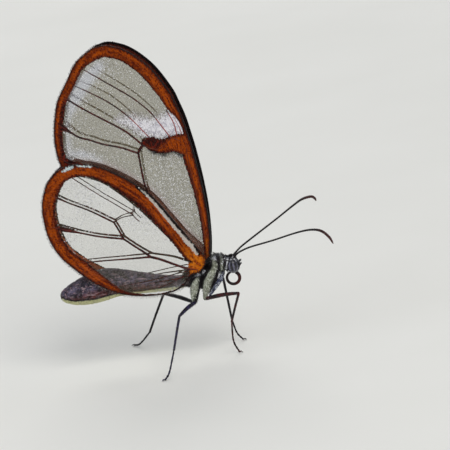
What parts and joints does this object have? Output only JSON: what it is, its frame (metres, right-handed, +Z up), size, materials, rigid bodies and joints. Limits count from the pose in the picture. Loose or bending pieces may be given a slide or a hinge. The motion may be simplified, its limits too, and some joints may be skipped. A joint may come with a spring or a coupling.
{
  "type": "glasswing butterfly",
  "caption": "Still life-size glasswing butterfly on its legs, clear veined wings closed upright, slim abdomen, long clubbed antennae and a coiled proboscis.",
  "frame": {"origin": "on the floor under the middle of the butterfly's box, in the plane that halves its body", "axes": "+X towards the head, +Y to the animal's left, +Z up from the floor"},
  "size_m": [0.0344, 0.0175, 0.0395],
  "materials": {
    "wing_membrane": "satin",
    "abdomen_skin": "satin",
    "thorax_hair": "matte",
    "collar_scales": "matte",
    "head_scales": "matte",
    "eye": "gloss",
    "antenna_shell": "satin",
    "proboscis_shell": "satin",
    "leg_shell": "satin",
    "foreleg_scales": "matte"
  },
  "bodies": {
    "root": {"forewing_right": "wing_membrane", "forewing_left": "wing_membrane", "hindwing_right": "wing_membrane", "hindwing_left": "wing_membrane", "abdomen": "abdomen_skin", "thorax": "thorax_hair", "prothorax": "collar_scales", "head": "head_scales", "eye_right": "eye", "eye_left": "eye", "palp_right": "head_scales", "palp_left": "head_scales", "antenna_right": "antenna_shell", "antenna_left": "antenna_shell", "proboscis": "proboscis_shell", "midleg_right": "leg_shell", "midleg_left": "leg_shell", "hindleg_right": "leg_shell", "hindleg_left": "leg_shell", "foreleg_right": "foreleg_scales", "foreleg_left": "foreleg_scales"}
  },
  "joints": []
}
